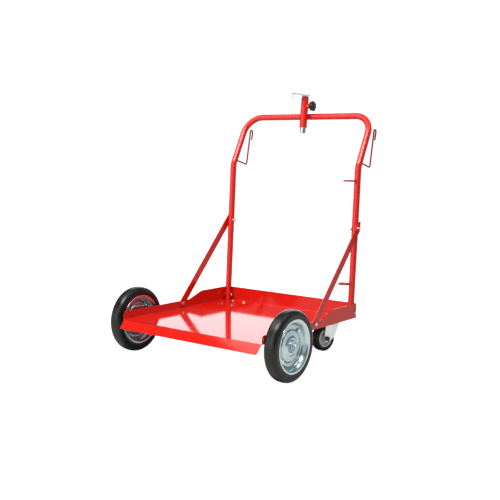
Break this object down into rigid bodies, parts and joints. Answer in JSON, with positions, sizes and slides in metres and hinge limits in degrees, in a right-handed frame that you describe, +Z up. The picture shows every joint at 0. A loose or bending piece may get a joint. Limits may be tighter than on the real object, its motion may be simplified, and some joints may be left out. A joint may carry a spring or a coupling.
{
  "type": "drum cart",
  "caption": "Drum cart with a folded tray on large front wheels and swivel casters, a bent tube handle with struts, a drum hook clamp and hose hooks.",
  "frame": {"origin": "middle of the cart's outline on the ground", "axes": "+Z up, -Y towards the tray's front lip, +X to the side with the wire rings and the knob"},
  "size_m": [0.7698, 0.8154, 0.9855],
  "materials": {
    "red_paint": "gloss red powder coat",
    "dark_red_paint": "dark red powder coat",
    "zinc_steel": "bright zinc plate",
    "tyre": "matt black rubber",
    "caster_rubber": "matt black rubber",
    "caster_core": "grey plastic",
    "knob": "black plastic"
  },
  "bodies": {
    "frame": {"axle_caps": "zinc_steel", "axle_collars": "zinc_steel", "axle_washers": "zinc_steel", "caster_bolts": "zinc_steel", "caster_nuts": "zinc_steel", "clamp_boss": "red_paint", "clamp_sleeve": "red_paint", "frame_nuts": "zinc_steel", "front_axle": "zinc_steel", "handle_frame": "red_paint", "left_axle_bracket": "red_paint", "left_caster_plate": "zinc_steel", "left_hose_hook": "dark_red_paint", "left_kingpin": "zinc_steel", "left_strut": "red_paint", "lower_ring": "dark_red_paint", "right_axle_bracket": "red_paint", "right_caster_plate": "zinc_steel", "right_hose_hook": "dark_red_paint", "right_kingpin": "zinc_steel", "right_strut": "red_paint", "strut_foot_bolts": "zinc_steel", "strut_top_bolts": "zinc_steel", "tray": "red_paint", "upper_ring": "dark_red_paint", "upright_bolts": "zinc_steel", "upright_spacers": "zinc_steel"},
    "left_front_wheel": {"left_tyre": "tyre", "left_rim_outer": "zinc_steel", "left_rim_inner": "zinc_steel", "left_rim_bolts": "zinc_steel", "left_rim_nuts": "zinc_steel", "left_hub": "zinc_steel", "left_bearing": "zinc_steel"},
    "left_caster_fork": {"left_fork": "zinc_steel", "left_caster_bolt": "zinc_steel", "left_caster_nut": "zinc_steel"},
    "left_caster_wheel": {"left_caster_tyre": "caster_rubber", "left_caster_core": "caster_core"},
    "right_front_wheel": {"right_tyre": "tyre", "right_rim_outer": "zinc_steel", "right_rim_inner": "zinc_steel", "right_rim_bolts": "zinc_steel", "right_rim_nuts": "zinc_steel", "right_hub": "zinc_steel", "right_bearing": "zinc_steel"},
    "right_caster_fork": {"right_fork": "zinc_steel", "right_caster_bolt": "zinc_steel", "right_caster_nut": "zinc_steel"},
    "right_caster_wheel": {"right_caster_tyre": "caster_rubber", "right_caster_core": "caster_core"},
    "clamp_post": {"clamp_post": "zinc_steel"},
    "drum_hook": {"hook_plate": "zinc_steel"},
    "clamp_screw": {"clamp_screw": "zinc_steel"},
    "star_knob": {"star_knob": "knob"}
  },
  "joints": [
    {"name": "left_front_wheel_spin", "type": "hinge", "parent": "frame", "child": "left_front_wheel", "pos_m": [-0.3526, -0.27615, 0.12356], "axis": [1, 0, 0], "continuous": true},
    {"name": "left_caster_swivel", "type": "hinge", "parent": "frame", "child": "left_caster_fork", "pos_m": [-0.238, 0.17969, 0.12164], "axis": [0, 0.0371, 0.9993], "continuous": true},
    {"name": "left_caster_spin", "type": "hinge", "parent": "left_caster_fork", "child": "left_caster_wheel", "pos_m": [-0.24655, 0.13998, 0.05006], "axis": [0.9744, -0.2248, 0.0084], "continuous": true},
    {"name": "right_front_wheel_spin", "type": "hinge", "parent": "frame", "child": "right_front_wheel", "pos_m": [0.3526, -0.27615, 0.12356], "axis": [1, 0, 0], "continuous": true},
    {"name": "right_caster_swivel", "type": "hinge", "parent": "frame", "child": "right_caster_fork", "pos_m": [0.238, 0.17969, 0.12164], "axis": [0, 0.0371, 0.9993], "continuous": true},
    {"name": "right_caster_spin", "type": "hinge", "parent": "right_caster_fork", "child": "right_caster_wheel", "pos_m": [0.22945, 0.13998, 0.05006], "axis": [0.9744, -0.2248, 0.0084], "continuous": true},
    {"name": "post_slide", "type": "slide", "parent": "frame", "child": "clamp_post", "axis": [0, 0.1241, 0.9923], "range_m": [0, 0.09]},
    {"name": "hook_turn", "type": "hinge", "parent": "clamp_post", "child": "drum_hook", "pos_m": [0, 0.34939, 0.89648], "axis": [0, 0.1241, 0.9923], "continuous": true},
    {"name": "screw_slide", "type": "slide", "parent": "frame", "child": "clamp_screw", "axis": [1, 0, 0], "range_m": [0, 0.0045]},
    {"name": "knob_turn", "type": "hinge", "parent": "clamp_screw", "child": "star_knob", "pos_m": [0.031, 0.35426, 0.93538], "axis": [1, 0, 0], "range_deg": [0, 1080]}
  ],
  "couplings": [
    {"joint": "screw_slide", "follows": "knob_turn", "m_per_rad": 0.00023873}
  ]
}
